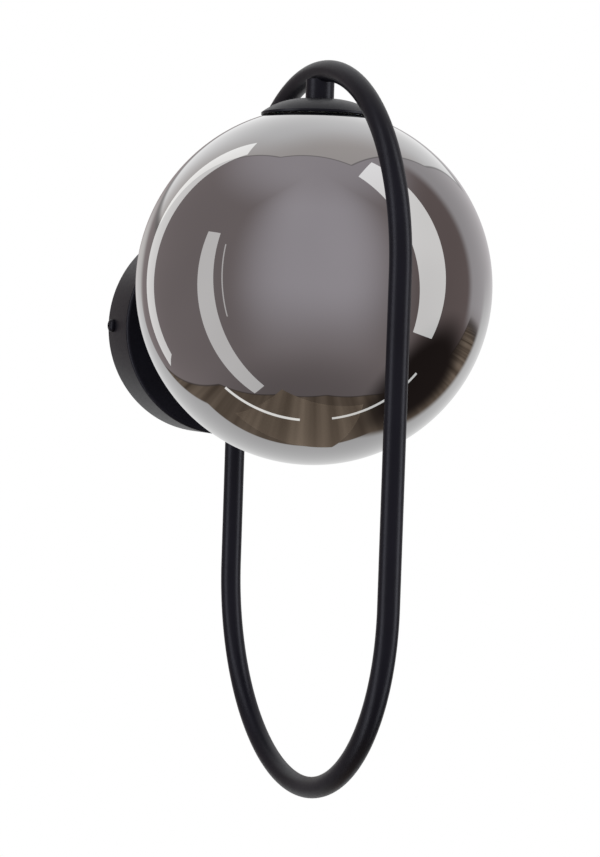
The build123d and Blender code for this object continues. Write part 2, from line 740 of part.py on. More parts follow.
with BuildPart() as lamp_cover:
    with BuildSketch(globe_centre.offset(lamp_base_bottom)):
        Circle(lamp_radius)
    extrude(amount=-lamp_cover_length)
    fillet(lamp_cover.edges().group_by(Axis.Z)[0], lamp_radius - lamp_cover_flat)
    cover_mouth = lamp_cover.faces().sort_by(Axis.Z)[-1]
    offset(amount=-lamp_cover_wall, openings=cover_mouth)
finish(lamp_cover, "lamp_cover")

with BuildPart() as lamp_core:
    with BuildSketch(globe_centre.offset(lamp_base_bottom)):
        RegularPolygon(lamp_core_diameter / 2, 6, major_radius=False)
    extrude(amount=-lamp_core_length)
    # Rows of light emitters on the six faces
    emitter_pitch = lamp_core_length / (emitter_rows + 1)
    for turn in range(30, 360, 60):
        turned = Plane(Location((0, globe_y, globe_z + lamp_base_bottom), (0, 0, turn)))
        middle = turned.origin + turned.x_dir * lamp_core_diameter / 2
        outward = Plane(origin=middle, x_dir=turned.y_dir, z_dir=turned.x_dir)
        with BuildSketch(outward):
            with Locations(*[(0, -emitter_pitch * (row + 1)) for row in range(emitter_rows)]):
                Rectangle(emitter_width, emitter_width)
        extrude(amount=emitter_thickness)
finish(lamp_core, "lamp_core")

# ---------------------------------------------------------------- globe, its collar and seals
opening_radius = globe_opening / 2
collar_outer = opening_radius - bond_thickness
collar_inner = carrier_radius + thread_clearance
gasket_outer = inner_edge - gasket_inset
gasket_inner = gasket_outer - gasket_width
flange_edge = gasket_inner - gasket_flange_gap
flange_under = globe_radius + bond_thickness + joint_clearance
flange_over = flange_under + collar_flange_thickness
collar_top = sphere_point(flange_over, collar_inner)[1]
collar_base = collar_top - collar_flange_thickness - collar_length
globe_inside = globe_radius - globe_wall

with BuildPart() as globe_glass:
    with BuildSketch(globe_section):
        with BuildLine():
            outer_lip = sphere_point(globe_radius, opening_radius)
            inner_lip = sphere_point(globe_inside, opening_radius)
            ThreePointArc(outer_lip, (globe_radius, 0), (0, -globe_radius))
            Line((0, -globe_radius), (0, -globe_inside))
            ThreePointArc((0, -globe_inside), (globe_inside, 0), inner_lip)
            Line(inner_lip, outer_lip)
        make_face()
    revolve(axis=globe_axis)
    lip_edges = globe_glass.edges().filter_by(GeomType.CIRCLE).sort_by(Axis.Z)[-2:]
    fillet(lip_edges, globe_lip_radius)
finish(globe_glass, "globe_glass")

with BuildPart() as globe_collar:
    with BuildSketch(globe_section):
        with BuildLine():
            neck_corner = sphere_point(flange_under, collar_outer)
            Line((collar_inner, collar_base), (collar_inner, collar_top))
            arc_on_sphere(flange_over, collar_inner, flange_edge)
            Line(sphere_point(flange_over, flange_edge), sphere_point(flange_under, flange_edge))
            arc_on_sphere(flange_under, flange_edge, collar_outer)
            Line(neck_corner, (collar_outer, collar_base))
            Line((collar_outer, collar_base), (collar_inner, collar_base))
        make_face()
    revolve(axis=globe_axis)
finish(globe_collar, "globe_collar")

# Elastic bond that fills the gap between the collar and the glass
bond_inner = collar_outer + joint_clearance
bond_outer = opening_radius - joint_clearance
bond_under = globe_radius + joint_clearance
bond_over = flange_under - joint_clearance
bond_base = inner_lip[1]
with BuildPart() as collar_bond:
    with BuildSketch(globe_section):
        with BuildLine():
            lip_top = (bond_outer, outer_lip[1] + joint_clearance)
            lip_shelf = sphere_point(bond_under, opening_radius + globe_lip_radius)
            Line((bond_inner, bond_base), sphere_point(bond_over, bond_inner))
            arc_on_sphere(bond_over, bond_inner, flange_edge)
            Line(sphere_point(bond_over, flange_edge), sphere_point(bond_under, flange_edge))
            arc_on_sphere(bond_under, flange_edge, opening_radius + globe_lip_radius)
            Line(lip_shelf, lip_top)
            Line(lip_top, (bond_outer, bond_base))
            Line((bond_outer, bond_base), (bond_inner, bond_base))
        make_face()
    revolve(axis=globe_axis)
finish(collar_bond, "collar_bond")

# Loose silicone washer that keeps the metal cap off the glass
gasket_under = globe_radius + seat_gap
gasket_over = gasket_under + gasket_thickness
with BuildPart() as globe_gasket:
    with BuildSketch(globe_section):
        with BuildLine():
            arc_on_sphere(gasket_over, gasket_inner, gasket_outer)
            Line(sphere_point(gasket_over, gasket_outer), sphere_point(gasket_under, gasket_outer))
            arc_on_sphere(gasket_under, gasket_outer, gasket_inner)
            Line(sphere_point(gasket_under, gasket_inner), sphere_point(gasket_over, gasket_inner))
        make_face()
    revolve(axis=globe_axis)
finish(globe_gasket, "globe_gasket")

# ---------------------------------------------------------------- wiring
pole_mouth = block_from_centre - block_length / 2 + pole_recess
holder_end = globe_z + carrier_base - lead_into_holder


def bend_radii(points):
    """Radius at each inner point: as large as the shorter of its two runs allows."""
    radii = []
    for before, corner, after in zip(points, points[1:], points[2:]):
        arriving = Vector(corner) - Vector(before)
        leaving = Vector(after) - Vector(corner)
        half_turn = math.radians(arriving.get_angle(leaving)) / 2
        radii.append(bend_share * min(arriving.length, leaving.length) / math.tan(half_turn))
    return radii


def lead(points, radii):
    """Insulated lead along a route of straight runs and tangent arcs."""
    with BuildPart() as insulated:
        with BuildLine() as route:
            FilletPolyline(*points, radius=radii)
        path = route.wire()
        with BuildSketch(Plane(origin=path @ 0, z_dir=path % 0)):
            Circle(lead_radius)
        sweep(path=path)
    return insulated


def supply_route(side):
    """Route of a supply lead: pole, bush, rear neck, rear leg, arch, top neck, holder."""
    across = side * lead_spacing / 2
    row = side * block_pitch
    gather_y = -(bush_back - lead_gather)
    return [
        (pole_mouth + lead_pole_depth, -pole_depth, row),
        (pole_mouth - lead_run_out, -pole_depth, row),
        (across, gather_y, side * lead_diameter),
        (across, -bush_back, 0),
        (across, leg_y, 0),
        (across, leg_y, loop_top),
        (across, globe_y, loop_top),
        (across, globe_y, holder_end),
    ]


for side, name in ((1, "lead_live"), (-1, "lead_neutral")):
    route_points = supply_route(side)
    free_radii = bend_radii(route_points[:5])
    supply_lead = lead(route_points, free_radii + [lead_bend, loop_radius - lead_bend, lead_bend])
    finish(supply_lead, name)
    print(name, "bend radii", [round(radius, 1) for radius in free_radii])

earth_points = [
    (pole_mouth + lead_pole_depth, -pole_depth, 0),
    (pole_mouth - lead_run_out, -pole_depth, 0),
    (barrel_start + lug_barrel_length + lead_run_out, -barrel_depth, 0),
    (barrel_start + lug_thickness, -barrel_depth, 0),
]
lead_earth = lead(earth_points, bend_radii(earth_points))
finish(lead_earth, "lead_earth")
print("lead_earth bend radii", [round(radius, 1) for radius in bend_radii(earth_points)])
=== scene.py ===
"""Looks of the globe wall sconce: black powder-coated loop and plate, smoked mirror-glass globe."""

import json
import math
from collections import namedtuple

import bmesh
import bpy
import numpy as np
from mathutils import Matrix, Vector


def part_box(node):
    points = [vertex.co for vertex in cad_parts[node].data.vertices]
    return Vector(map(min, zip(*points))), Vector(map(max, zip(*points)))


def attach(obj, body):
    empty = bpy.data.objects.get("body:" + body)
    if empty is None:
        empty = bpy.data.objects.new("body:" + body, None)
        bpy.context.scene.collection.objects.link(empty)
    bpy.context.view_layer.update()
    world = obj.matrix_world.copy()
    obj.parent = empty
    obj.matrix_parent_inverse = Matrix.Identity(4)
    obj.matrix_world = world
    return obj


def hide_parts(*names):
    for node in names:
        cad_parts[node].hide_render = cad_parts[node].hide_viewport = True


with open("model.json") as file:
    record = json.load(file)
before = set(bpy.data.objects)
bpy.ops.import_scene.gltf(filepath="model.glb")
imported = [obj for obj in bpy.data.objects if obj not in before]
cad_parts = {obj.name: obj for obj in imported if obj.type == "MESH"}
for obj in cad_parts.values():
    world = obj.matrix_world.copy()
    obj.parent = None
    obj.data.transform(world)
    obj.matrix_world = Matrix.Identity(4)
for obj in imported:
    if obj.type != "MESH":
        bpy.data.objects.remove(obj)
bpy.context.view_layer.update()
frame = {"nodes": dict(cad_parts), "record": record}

MM = 0.001

# ---------------------------------------------------------------- sizes read from the frame


def node_box(name):
    """Lowest and highest corners of a CAD node, as arrays."""
    low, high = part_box(name)
    return np.array(low), np.array(high)


globe_low, globe_high = node_box("globe_glass")
GLOBE_RADIUS = (globe_high[0] - globe_low[0]) / 2
GLOBE_Y = (globe_low[1] + globe_high[1]) / 2
GLOBE_Z = globe_low[2] + GLOBE_RADIUS
GLOBE_CENTRE = np.array([0, GLOBE_Y, GLOBE_Z])
GLOBE_WALL = 2.5 * MM
OPENING_RADIUS = 17.5 * MM
GLOBE_LIP = 1.0 * MM  # round of the opening's fire-polished edge

loop_low, loop_high = node_box("loop_tube")
TUBE_RADIUS = (loop_high[0] - loop_low[0]) / 2
LOOP_RADIUS = (loop_high[1] - loop_low[1]) / 2 - TUBE_RADIUS
LOOP_Y = (loop_low[1] + loop_high[1]) / 2
ARCH_Z = loop_high[2] - TUBE_RADIUS - LOOP_RADIUS
FOOT_Z = loop_low[2] + TUBE_RADIUS + LOOP_RADIUS

plate_low, plate_high = node_box("wall_plate")
PLATE_RADIUS = (plate_high[0] - plate_low[0]) / 2
PLATE_DEPTH = plate_high[1] - plate_low[1]
PLATE_WALL = 1.2 * MM
PLATE_EDGE_RADIUS = 2.0 * MM  # between the front and the side
PLATE_BACK_EDGE = 0.25 * MM  # chamfer of the edge that lies against the wall

cap_low, cap_high = node_box("globe_cap")
CAP_RADIUS = (cap_high[0] - cap_low[0]) / 2
CAP_BASE = cap_low[2] - GLOBE_Z
CAP_TOP = cap_high[2] - GLOBE_Z
CAP_RIM = 1.5 * MM  # height of the short upright rim
CAP_EDGE = 0.35 * MM  # chamfer of the rim
CAP_WALL = 1.2 * MM
NECK_RADIUS = 8.0 * MM
CAP_FLAT = NECK_RADIUS + 1.0 * MM  # radius of the neck's seat
NIPPLE_HOLE_RADIUS = 5.25 * MM

# ---------------------------------------------------------------- surfaces

DOUBLES_APART = 0.002 * MM
SHARP_ANGLE = math.radians(30.0)
X_AXIS = np.array([1.0, 0.0, 0.0])


def surface(name, grid):
    """Mesh from a grid of points (rows, columns, xyz) whose last column joins up with its first.

    A row that shrinks to a point closes as a pole.
    """
    rows, columns = grid.shape[:2]
    index = np.arange(rows * columns).reshape(rows, columns)
    index = np.concatenate([index, index[:, :1]], axis=1)
    quads = np.stack([index[:-1, :-1], index[:-1, 1:], index[1:, 1:], index[1:, :-1]], axis=-1)
    mesh = bpy.data.meshes.new(name)
    mesh.from_pydata(grid.reshape(-1, 3).tolist(), [], quads.reshape(-1, 4).tolist())
    piece = bpy.data.objects.new(name, mesh)
    bpy.context.collection.objects.link(piece)
    return piece


def settle(piece):
    """Merge doubles, turn the faces outwards, and shade smooth up to the sharp edges."""
    shape = bmesh.new()
    shape.from_mesh(piece.data)
    bmesh.ops.remove_doubles(shape, verts=shape.verts, dist=DOUBLES_APART)
    bmesh.ops.recalc_face_normals(shape, faces=shape.faces)
    shape.to_mesh(piece.data)
    shape.free()
    piece.data.shade_smooth()
    piece.data.set_sharp_from_angle(angle=SHARP_ANGLE)
    return piece


def arc(centre, radius, start, end, steps):
    """Points on a circle in a profile, from one angle to another in degrees."""
    angle = np.radians(np.linspace(start, end, steps + 1))
    return np.stack([centre[0] + radius * np.cos(angle), centre[1] + radius * np.sin(angle)], axis=-1)


def profile(*parts):
    """Profile of (distance from the axis, height) points joined from points and arcs."""
    return np.concatenate([np.atleast_2d(np.asarray(part, dtype=float)) for part in parts])


def full_turn(steps):
    """Angles of one turn, without the last, which is the first again."""
    return np.linspace(0, 2 * math.pi, steps, endpoint=False)


def turned(name, outline, origin, along, steps):
    """Surface of revolution: origin + height * along + distance * (cos t * x + sin t * second)."""
    along = np.asarray(along, dtype=float)
    second = np.cross(along, X_AXIS)
    turn = full_turn(steps)
    spoke = np.cos(turn)[:, None] * X_AXIS + np.sin(turn)[:, None] * second
    grid = np.asarray(origin) + outline[:, None, 1:] * along + outline[:, None, :1] * spoke[None]
    return surface(name, grid)


def sphere_height(radius, distance):
    """Height of a sphere round the globe centre at a distance from its axis."""
    return math.sqrt(radius**2 - distance**2)


# ---------------------------------------------------------------- materials

NOISE_MIDDLE = (0.3, 0.7)


def colour(code):
    """Linear RGBA of an sRGB hex code."""
    parts = [int(code[place:place + 2], 16) / 255 for place in (1, 3, 5)]
    linear = [part / 12.92 if part <= 0.04045 else ((part + 0.055) / 1.055) ** 2.4 for part in parts]
    return (*linear, 1.0)


def add(tree, kind, inputs=None, **settings):
    """Add a node, set its properties, and set or link its inputs by name or number."""
    made = tree.nodes.new(kind)
    for key, value in settings.items():
        setattr(made, key, value)
    for key, value in (inputs or {}).items():
        if isinstance(value, bpy.types.NodeSocket):
            tree.links.new(value, made.inputs[key])
        else:
            made.inputs[key].default_value = value
    return made


def blank(name):
    """New material with an empty tree, and the Object coordinates in millimetres."""
    made = bpy.data.materials.new(name)
    made.use_nodes = True
    tree = made.node_tree
    tree.nodes.clear()
    place = add(tree, "ShaderNodeTexCoord").outputs["Object"]
    millimetres = add(
        tree, "ShaderNodeVectorMath", {0: place, 1: (1 / MM, 1 / MM, 1 / MM)}, operation="MULTIPLY"
    ).outputs[0]
    return made, tree, millimetres


def shade(tree, **inputs):
    """Principled shader with its inputs, joined to the output."""
    named = {key.replace("_", " "): value for key, value in inputs.items()}
    shader = add(tree, "ShaderNodeBsdfPrincipled", named)
    add(tree, "ShaderNodeOutputMaterial", {"Surface": shader.outputs[0]})
    return shader


def noise(tree, place, grain, detail=2.0):
    """Noise with a grain size in millimetres."""
    return add(
        tree, "ShaderNodeTexNoise", {"Vector": place, "Scale": 1.0 / grain, "Detail": detail}
    ).outputs[0]


def spread(tree, value, low, high):
    """Map the middle of a noise, where nearly all of it lies, to a range of values."""
    start, end = NOISE_MIDDLE
    return add(
        tree, "ShaderNodeMapRange", {0: value, 1: start, 2: end, 3: low, 4: high}
    ).outputs[0]


def mixed(tree, factor, first, second):
    """Mix of two colours."""
    return add(
        tree, "ShaderNodeMix", {0: factor, 6: first, 7: second}, data_type="RGBA"
    ).outputs[2]


def bumped(tree, height, depth):
    """Bump of a given depth in millimetres."""
    return add(
        tree, "ShaderNodeBump", {"Height": height, "Strength": 1.0, "Distance": depth * MM}
    ).outputs[0]


def powder_coat():
    """Satin black polyester powder coat on steel: fine orange peel that softens its highlights."""
    made, tree, place = blank("satin_black_powder_coat")
    # The real peel is about 0.5 mm; it is drawn at 1.6 mm so that it shows
    peel = noise(tree, place, 1.6, detail=3.0)
    cloud = noise(tree, place, 40.0)
    tint = mixed(tree, spread(tree, cloud, 0.0, 1.0), colour("#07070c"), colour("#0b0b12"))
    # A polyester coat's IOR is usually 1.5; the photographed one mirrors less, and slightly blue
    shade(
        tree,
        Base_Color=tint,
        Roughness=spread(tree, peel, 0.33, 0.40),
        IOR=1.27,
        Specular_Tint=(0.85, 0.84, 1.0, 1.0),
        Normal=bumped(tree, peel, 0.003),
    )
    return made


def zinc_plate():
    """Bright zinc-plated steel: grey, slightly blue, with faint rolling marks."""
    made, tree, place = blank("zinc_plated_steel")
    # The real marks are about 0.1 mm; they are drawn at 0.8 mm so that they show
    marks = noise(tree, place, 0.8, detail=4.0)
    blotch = noise(tree, place, 9.0)
    tint = mixed(tree, spread(tree, blotch, 0.0, 1.0), colour("#b9bcc0"), colour("#cfcfcb"))
    shade(
        tree,
        Base_Color=tint,
        Metallic=1.0,
        Roughness=spread(tree, marks, 0.26, 0.4),
        Normal=bumped(tree, marks, 0.006),
    )
    return made


def bare_metal(name, dark, light):
    """Turned or drawn bare metal with fine tool marks."""
    made, tree, place = blank(name)
    # The real marks are about 0.1 mm; they are drawn at 0.5 mm so that they show
    marks = noise(tree, place, 0.5, detail=3.0)
    tint = mixed(tree, spread(tree, marks, 0.0, 1.0), colour(dark), colour(light))
    shade(tree, Base_Color=tint, Metallic=1.0, Roughness=spread(tree, marks, 0.2, 0.34))
    return made


def moulded(name, dark, light, low=0.38, high=0.5, subsurface=0.0):
    """Moulded plastic, ceramic or rubber with the fine texture of its tool."""
    made, tree, place = blank(name)
    # The real texture is about 0.2 mm; it is drawn at 0.7 mm so that it shows
    texture = noise(tree, place, 0.7, detail=3.0)
    cloud = noise(tree, place, 12.0)
    tint = mixed(tree, spread(tree, cloud, 0.0, 1.0), colour(dark), colour(light))
    shade(
        tree,
        Base_Color=tint,
        Roughness=spread(tree, texture, low, high),
        Subsurface_Weight=subsurface,
        Normal=bumped(tree, texture, 0.008),
    )
    return made


def smoked_mirror():
    """Smoked glass with a vacuum-deposited mirror film: a dim grey mirror under clear glass."""
    made, tree, place = blank("smoked_mirror_glass")
    # The film's shade and the blown surface both vary slowly, over some 50 to 60 mm
    film = noise(tree, place, 55.0, detail=1.0)
    ripple = noise(tree, place, 60.0, detail=0.0)
    tint = mixed(tree, spread(tree, film, 0.0, 1.0), colour("#9b9a9b"), colour("#a3a2a3"))
    shade(
        tree,
        Base_Color=tint,
        Metallic=1.0,
        Roughness=0.012,
        Coat_Weight=1.0,
        Coat_Roughness=0.01,
        Normal=bumped(tree, ripple, 0.12),
    )
    return made


def striped_sleeve():
    """Green insulation with a yellow stripe along the lead."""
    made, tree, place = blank("green_yellow_sleeve")
    height = add(tree, "ShaderNodeSeparateXYZ", {0: place}).outputs[2]
    stripe = add(tree, "ShaderNodeMath", {0: height, 1: 0.0}, operation="GREATER_THAN").outputs[0]
    tint = mixed(tree, stripe, colour("#2f7d34"), colour("#d9c222"))
    texture = noise(tree, place, 0.4)
    shade(tree, Base_Color=tint, Roughness=spread(tree, texture, 0.45, 0.6))
    return made


finishes = {
    "black_metal": powder_coat(),
    "plated_steel": zinc_plate(),
    "tinned_brass": bare_metal("tinned_brass", "#b8b4a8", "#cfccc2"),
    "brass": bare_metal("bare_brass", "#b08d45", "#c8a55c"),
    "aluminium": bare_metal("turned_aluminium", "#b4b5b8", "#cbccce"),
    "natural_nylon": moulded("natural_nylon", "#d9d4c4", "#e4dfd0", subsurface=0.05),
    "black_nylon": moulded("black_nylon", "#161616", "#1d1d1e"),
    "white_plastic": moulded("white_lamp_plastic", "#e2e0da", "#ecebe6", low=0.25, high=0.35),
    "frosted_plastic": moulded("frosted_lamp_cover", "#e8e5dc", "#f0eee8", subsurface=0.1),
    "ceramic": moulded("steatite_ceramic", "#dedacd", "#e8e4d9", low=0.3, high=0.45),
    "smoked_glass": smoked_mirror(),
    "clear_silicone": moulded("clear_silicone", "#c9c9c2", "#d5d5cf", subsurface=0.1),
    "brown_insulation": moulded("brown_sleeve", "#4a2b17", "#54331d"),
    "blue_insulation": moulded("blue_sleeve", "#1f4f9c", "#2659a8"),
    "green_insulation": striped_sleeve(),
}


def dress(piece, finish):
    """Give a piece one finish."""
    piece.data.materials.clear()
    piece.data.materials.append(finish)


slot_of = {row["node"]: row["material_slot"] for row in frame["record"]["subparts"]}
for node, cad_piece in frame["nodes"].items():
    dress(cad_piece, finishes[slot_of[node]])


def stand_in(piece, node, body):
    """Let a modelled piece take a node's place, body, slot and finish."""
    dress(piece, finishes[slot_of[node]])
    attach(piece, body)
    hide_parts(node)


# ---------------------------------------------------------------- globe


def blown_globe():
    """Blown shell: two spheres joined by a fire-polished lip round the opening."""
    inside = GLOBE_RADIUS - GLOBE_WALL
    lip = OPENING_RADIUS + GLOBE_LIP
    outer_lip = math.degrees(math.acos(lip / GLOBE_RADIUS))
    inner_lip = math.degrees(math.acos(lip / inside))
    outer_height = sphere_height(GLOBE_RADIUS, lip)
    inner_height = sphere_height(inside, lip)
    rim_middle = (lip, (outer_height + inner_height) / 2)
    rim_radius = (outer_height - inner_height) / 2
    outline = profile(
        arc((0, 0), inside, -90, inner_lip, 120),
        arc(rim_middle, rim_radius, 270, 90, 12)[1:-1],
        arc((0, 0), GLOBE_RADIUS, outer_lip, -90, 160),
    )
    outline[[0, -1], 0] = 0
    return turned("smoked_globe", outline, GLOBE_CENTRE, (0, 0, 1), steps=256)


globe = settle(blown_globe())
stand_in(globe, "globe_glass", "globe")

# ---------------------------------------------------------------- loop of tube


def loop_path(straight_steps=24, round_steps=96):
    """Centre line of the loop as (y, z) with its outward direction: two legs and two half circles."""
    half = np.linspace(0, math.pi, round_steps, endpoint=False)
    leg = np.linspace(0, 1, straight_steps, endpoint=False)
    arch = np.stack([LOOP_Y + LOOP_RADIUS * np.cos(half), ARCH_Z + LOOP_RADIUS * np.sin(half)], -1)
    foot = np.stack([LOOP_Y - LOOP_RADIUS * np.cos(half), FOOT_Z - LOOP_RADIUS * np.sin(half)], -1)
    front = np.stack([np.full_like(leg, LOOP_Y - LOOP_RADIUS), ARCH_Z + (FOOT_Z - ARCH_Z) * leg], -1)
    rear = np.stack([np.full_like(leg, LOOP_Y + LOOP_RADIUS), FOOT_Z + (ARCH_Z - FOOT_Z) * leg], -1)
    centre = np.concatenate([arch, front, foot, rear])
    out_arch = np.stack([np.cos(half), np.sin(half)], -1)
    out_foot = -out_arch
    out_front = np.tile([-1.0, 0.0], (straight_steps, 1))
    out_rear = np.tile([1.0, 0.0], (straight_steps, 1))
    return centre, np.concatenate([out_arch, out_front, out_foot, out_rear])


def bent_tube(sides=48):
    """Round tube along the loop: centre + radius * (cos v * outward + sin v * x)."""
    centre, outward = loop_path()
    turn = full_turn(sides)
    across = TUBE_RADIUS * np.sin(turn)
    along = TUBE_RADIUS * np.cos(turn)
    grid = np.empty((len(centre) + 1, sides, 3))
    closed_centre = np.concatenate([centre, centre[:1]])
    closed_outward = np.concatenate([outward, outward[:1]])
    grid[..., 0] = across
    grid[..., 1:] = closed_centre[:, None] + along[None, :, None] * closed_outward[:, None]
    return surface("tube_loop", grid)


loop = settle(bent_tube())
loop.visible_glossy = False  # the photograph's globe doesn't mirror the loop
stand_in(loop, "loop_tube", "fixture")

# ---------------------------------------------------------------- wall plate


def drawn_plate():
    """Drawn cup: a flat front, a rounded edge, a straight side and an even wall."""
    inner_edge = PLATE_EDGE_RADIUS - PLATE_WALL
    side = PLATE_RADIUS - PLATE_EDGE_RADIUS
    front = PLATE_DEPTH - PLATE_EDGE_RADIUS
    outline = profile(
        (NIPPLE_HOLE_RADIUS, PLATE_DEPTH - PLATE_WALL),
        (NIPPLE_HOLE_RADIUS, PLATE_DEPTH),
        (side / 2, PLATE_DEPTH),
        arc((side, front), PLATE_EDGE_RADIUS, 90, 0, 12),
        (PLATE_RADIUS, PLATE_BACK_EDGE),
        (PLATE_RADIUS - PLATE_BACK_EDGE, 0),
        (PLATE_RADIUS - PLATE_WALL + PLATE_BACK_EDGE, 0),
        (PLATE_RADIUS - PLATE_WALL, PLATE_BACK_EDGE),
        arc((side, front), inner_edge, 0, 90, 8),
        (NIPPLE_HOLE_RADIUS, PLATE_DEPTH - PLATE_WALL),
    )
    return turned("wall_plate_cup", outline, (0, 0, 0), (0, -1, 0), steps=256)


stand_in(settle(drawn_plate()), "wall_plate", "fixture")

# ---------------------------------------------------------------- cap and necks


def spun_cap():
    """Spun dome: flat seat, then one arc that leaves the flat tangentially, and a short rim."""
    shoulder = CAP_BASE + CAP_RIM
    drop = CAP_TOP - shoulder
    reach = CAP_RADIUS - CAP_FLAT
    crown = (reach**2 + drop**2) / (2 * drop)
    end = math.degrees(math.atan2(crown - drop, reach))
    inner_reach = reach - CAP_WALL
    inner_drop = CAP_TOP - CAP_WALL - (shoulder - CAP_WALL / 2)
    inner_crown = (inner_reach**2 + inner_drop**2) / (2 * inner_drop)
    inner_end = math.degrees(math.atan2(inner_crown - inner_drop, inner_reach))
    outline = profile(
        (NIPPLE_HOLE_RADIUS, CAP_TOP - CAP_WALL),
        (NIPPLE_HOLE_RADIUS, CAP_TOP),
        arc((CAP_FLAT, CAP_TOP - crown), crown, 90, end, 32),
        (CAP_RADIUS, CAP_BASE + CAP_EDGE),
        (CAP_RADIUS - CAP_EDGE, CAP_BASE),
        (CAP_RADIUS - CAP_WALL + CAP_EDGE, CAP_BASE),
        (CAP_RADIUS - CAP_WALL, CAP_BASE + CAP_EDGE),
        arc((CAP_FLAT, CAP_TOP - CAP_WALL - inner_crown), inner_crown, inner_end, 90, 32),
        (NIPPLE_HOLE_RADIUS, CAP_TOP - CAP_WALL),
    )
    return turned("globe_dome_cap", outline, GLOBE_CENTRE, (0, 0, 1), steps=192)


stand_in(settle(spun_cap()), "globe_cap", "fixture")

NECK_SADDLE = 1.5 * MM  # how far the neck comes up round the tube
NECK_GAP = 0.05 * MM
NECK_BORE_RADIUS = 5.05 * MM
NECK_CHAMFER = 0.2 * MM


def coped_neck(name, foot, along, reach, bend=math.inf):
    """Round neck whose end is cut by the tube: height = min(reach + saddle, distance to the tube).

    The tube's centre line crosses the neck's axis at reach + tube radius, and runs along the second
    direction, straight or bent towards the neck.
    """
    along = np.asarray(along, dtype=float)
    second = np.cross(along, X_AXIS)
    turn = full_turn(144)
    rings = [(NECK_BORE_RADIUS, 0.0), (NECK_RADIUS - NECK_CHAMFER, 0.0), (NECK_RADIUS, NECK_CHAMFER)]
    rings += [(distance, None) for distance in np.linspace(NECK_RADIUS, NECK_BORE_RADIUS, 16)]
    rings += [(NECK_BORE_RADIUS, 0.0)]
    rows = []
    for distance, height in rings:
        across, beside = distance * np.cos(turn), distance * np.sin(turn)
        if height is None:
            radius = TUBE_RADIUS + NECK_GAP
            side = np.sqrt(np.clip(radius**2 - across**2, 0, None))
            groove = reach + TUBE_RADIUS - side - beside**2 / (2 * bend)
            open_side = np.abs(across) >= radius
            height = np.where(open_side, reach + NECK_SADDLE, np.minimum(reach + NECK_SADDLE, groove))
        spoke = across[:, None] * X_AXIS + beside[:, None] * second
        rows.append(np.asarray(foot) + spoke + np.broadcast_to(height, turn.shape)[:, None] * along)
    return surface(name, np.array(rows))


cap_top_z = cap_high[2]
top_reach = ARCH_Z + LOOP_RADIUS - TUBE_RADIUS - cap_top_z
rear_reach = -PLATE_DEPTH - (LOOP_Y + LOOP_RADIUS + TUBE_RADIUS)
top_neck = coped_neck("neck_over_cap", (0, LOOP_Y, cap_top_z), (0, 0, 1), top_reach, LOOP_RADIUS)
rear_neck = coped_neck("neck_on_plate", (0, -PLATE_DEPTH, 0), (0, -1, 0), rear_reach)
stand_in(settle(top_neck), "top_neck", "fixture")
stand_in(settle(rear_neck), "rear_neck", "fixture")

# ---------------------------------------------------------------- screws in the plate's rim

SCREW_FROM_WALL = 9.0 * MM
SCREW_HEAD_RADIUS = 4.0 * MM
SCREW_HEAD_HEIGHT = 2.8 * MM
SCREW_HEAD_SIDE = 0.8 * MM
SCREW_FLAT_RADIUS = 1.75 * MM
SCREW_SOCKET_APOTHEM = 1.25 * MM
SCREW_SOCKET_DEPTH = 1.7 * MM
SCREW_SHANK_RADIUS = 2.0 * MM
SCREW_LENGTH = 7.0 * MM


def button_screw(name, side):
    """Domed screw along x, of rings; the hexagon's radius is apothem / cos(angle to the flat's middle)."""
    turn = full_turn(96)
    to_flat = np.mod(turn + math.pi / 6, math.pi / 3) - math.pi / 6
    hexagon = SCREW_SOCKET_APOTHEM / np.cos(to_flat)
    dome_height = SCREW_HEAD_HEIGHT - SCREW_HEAD_SIDE
    dome_reach = SCREW_HEAD_RADIUS - SCREW_FLAT_RADIUS
    dome = [
        (SCREW_FLAT_RADIUS + dome_reach * math.sin(slope), SCREW_HEAD_SIDE + dome_height * math.cos(slope))
        for slope in np.linspace(0, 1, 17) * math.pi / 2
    ]
    socket_floor = SCREW_HEAD_HEIGHT - SCREW_SOCKET_DEPTH
    rings = [(0.0, socket_floor), (hexagon, socket_floor), (hexagon, SCREW_HEAD_HEIGHT), *dome]
    rings += [(SCREW_HEAD_RADIUS, 0.0), (SCREW_SHANK_RADIUS, 0.0)]
    rings += [(SCREW_SHANK_RADIUS, -SCREW_LENGTH), (0.0, -SCREW_LENGTH)]
    rows = []
    for radius, height in rings:
        radius = np.broadcast_to(radius, turn.shape)
        away = np.full_like(turn, side * (PLATE_RADIUS + height))
        beside, above = -SCREW_FROM_WALL + radius * np.cos(turn), radius * np.sin(turn)
        rows.append(np.stack([away, beside, above], axis=-1))
    return surface(name, np.array(rows))


for side, name in ((-1, "rim_screw_left"), (1, "rim_screw_right")):
    stand_in(settle(button_screw(name, side)), "plate_screws", "fixture")

# ---------------------------------------------------------------- camera

PHOTO_WIDTH, PHOTO_HEIGHT = 600, 857
FOCAL_PIXELS = 2330.6
CENTRE_PIXEL = (214.0, 445.5)
CAMERA_PLACE = Vector((-514.1, -1379.3, -5.2)) * MM
CAMERA_YAW, CAMERA_PITCH, CAMERA_ROLL = 0.3616, -0.0464, 0.0316
SENSOR = 36.0


